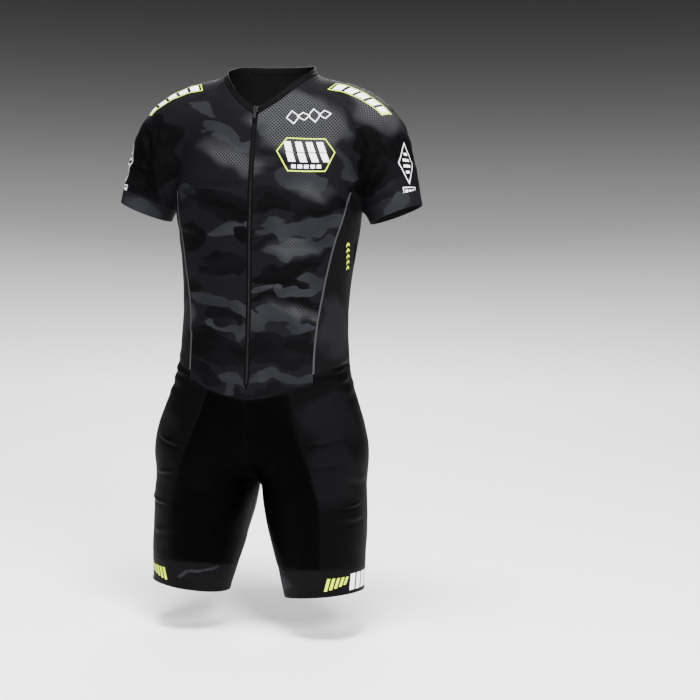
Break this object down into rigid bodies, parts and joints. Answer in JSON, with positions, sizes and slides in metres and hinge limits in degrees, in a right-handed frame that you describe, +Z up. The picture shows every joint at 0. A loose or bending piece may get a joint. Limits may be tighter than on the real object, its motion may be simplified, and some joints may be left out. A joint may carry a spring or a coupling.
{
  "type": "one-piece cycling skinsuit",
  "caption": "Short-sleeve one-piece cycling skinsuit with raglan sleeves, full front zip, dark camouflage panels and thigh-length shorts, in its worn hollow form.",
  "frame": {"origin": "middle of the neck opening at shoulder height, where the wearer's shoulders carry the suit", "axes": "+Z up along the wearer's spine, -Y out of the chest, +X towards the wearer's left"},
  "size_m": [0.5328, 0.2457, 0.9081],
  "materials": {
    "camouflage_knit": "printed stretch knit, matt",
    "black_knit": "plain stretch knit, matt",
    "side_mesh": "open mesh knit",
    "thigh_mesh": "textured mesh knit",
    "leg_band": "printed gripper band",
    "seam_tape": "bonded tape",
    "zip_tape": "woven zip tape",
    "zip_metal": "black lacquer"
  },
  "bodies": {
    "suit": {"back_panel": "camouflage_knit", "back_pocket": "camouflage_knit", "front_panel_left": "camouflage_knit", "front_panel_right": "camouflage_knit", "sleeve_left": "camouflage_knit", "sleeve_right": "camouflage_knit", "hamstring_inset_left": "camouflage_knit", "hamstring_inset_right": "camouflage_knit", "front_short_left": "black_knit", "front_short_right": "black_knit", "seat_panel_left": "black_knit", "seat_panel_right": "black_knit", "neck_binding": "black_knit", "side_panel_left": "side_mesh", "side_panel_right": "side_mesh", "thigh_panel_left": "thigh_mesh", "thigh_panel_right": "thigh_mesh", "leg_band_left": "leg_band", "leg_band_right": "leg_band", "seam_tape_left": "seam_tape", "seam_tape_right": "seam_tape", "zip_tape_left": "zip_tape", "zip_tape_right": "zip_tape", "zip_slider": "zip_metal"},
    "pull": {"zip_pull": "zip_metal"}
  },
  "joints": [
    {"name": "pull_swing", "type": "hinge", "parent": "suit", "child": "pull", "pos_m": [0, -0.08578, -0.03936], "axis": [-1, 0, 0], "range_deg": [0, 150]}
  ]
}
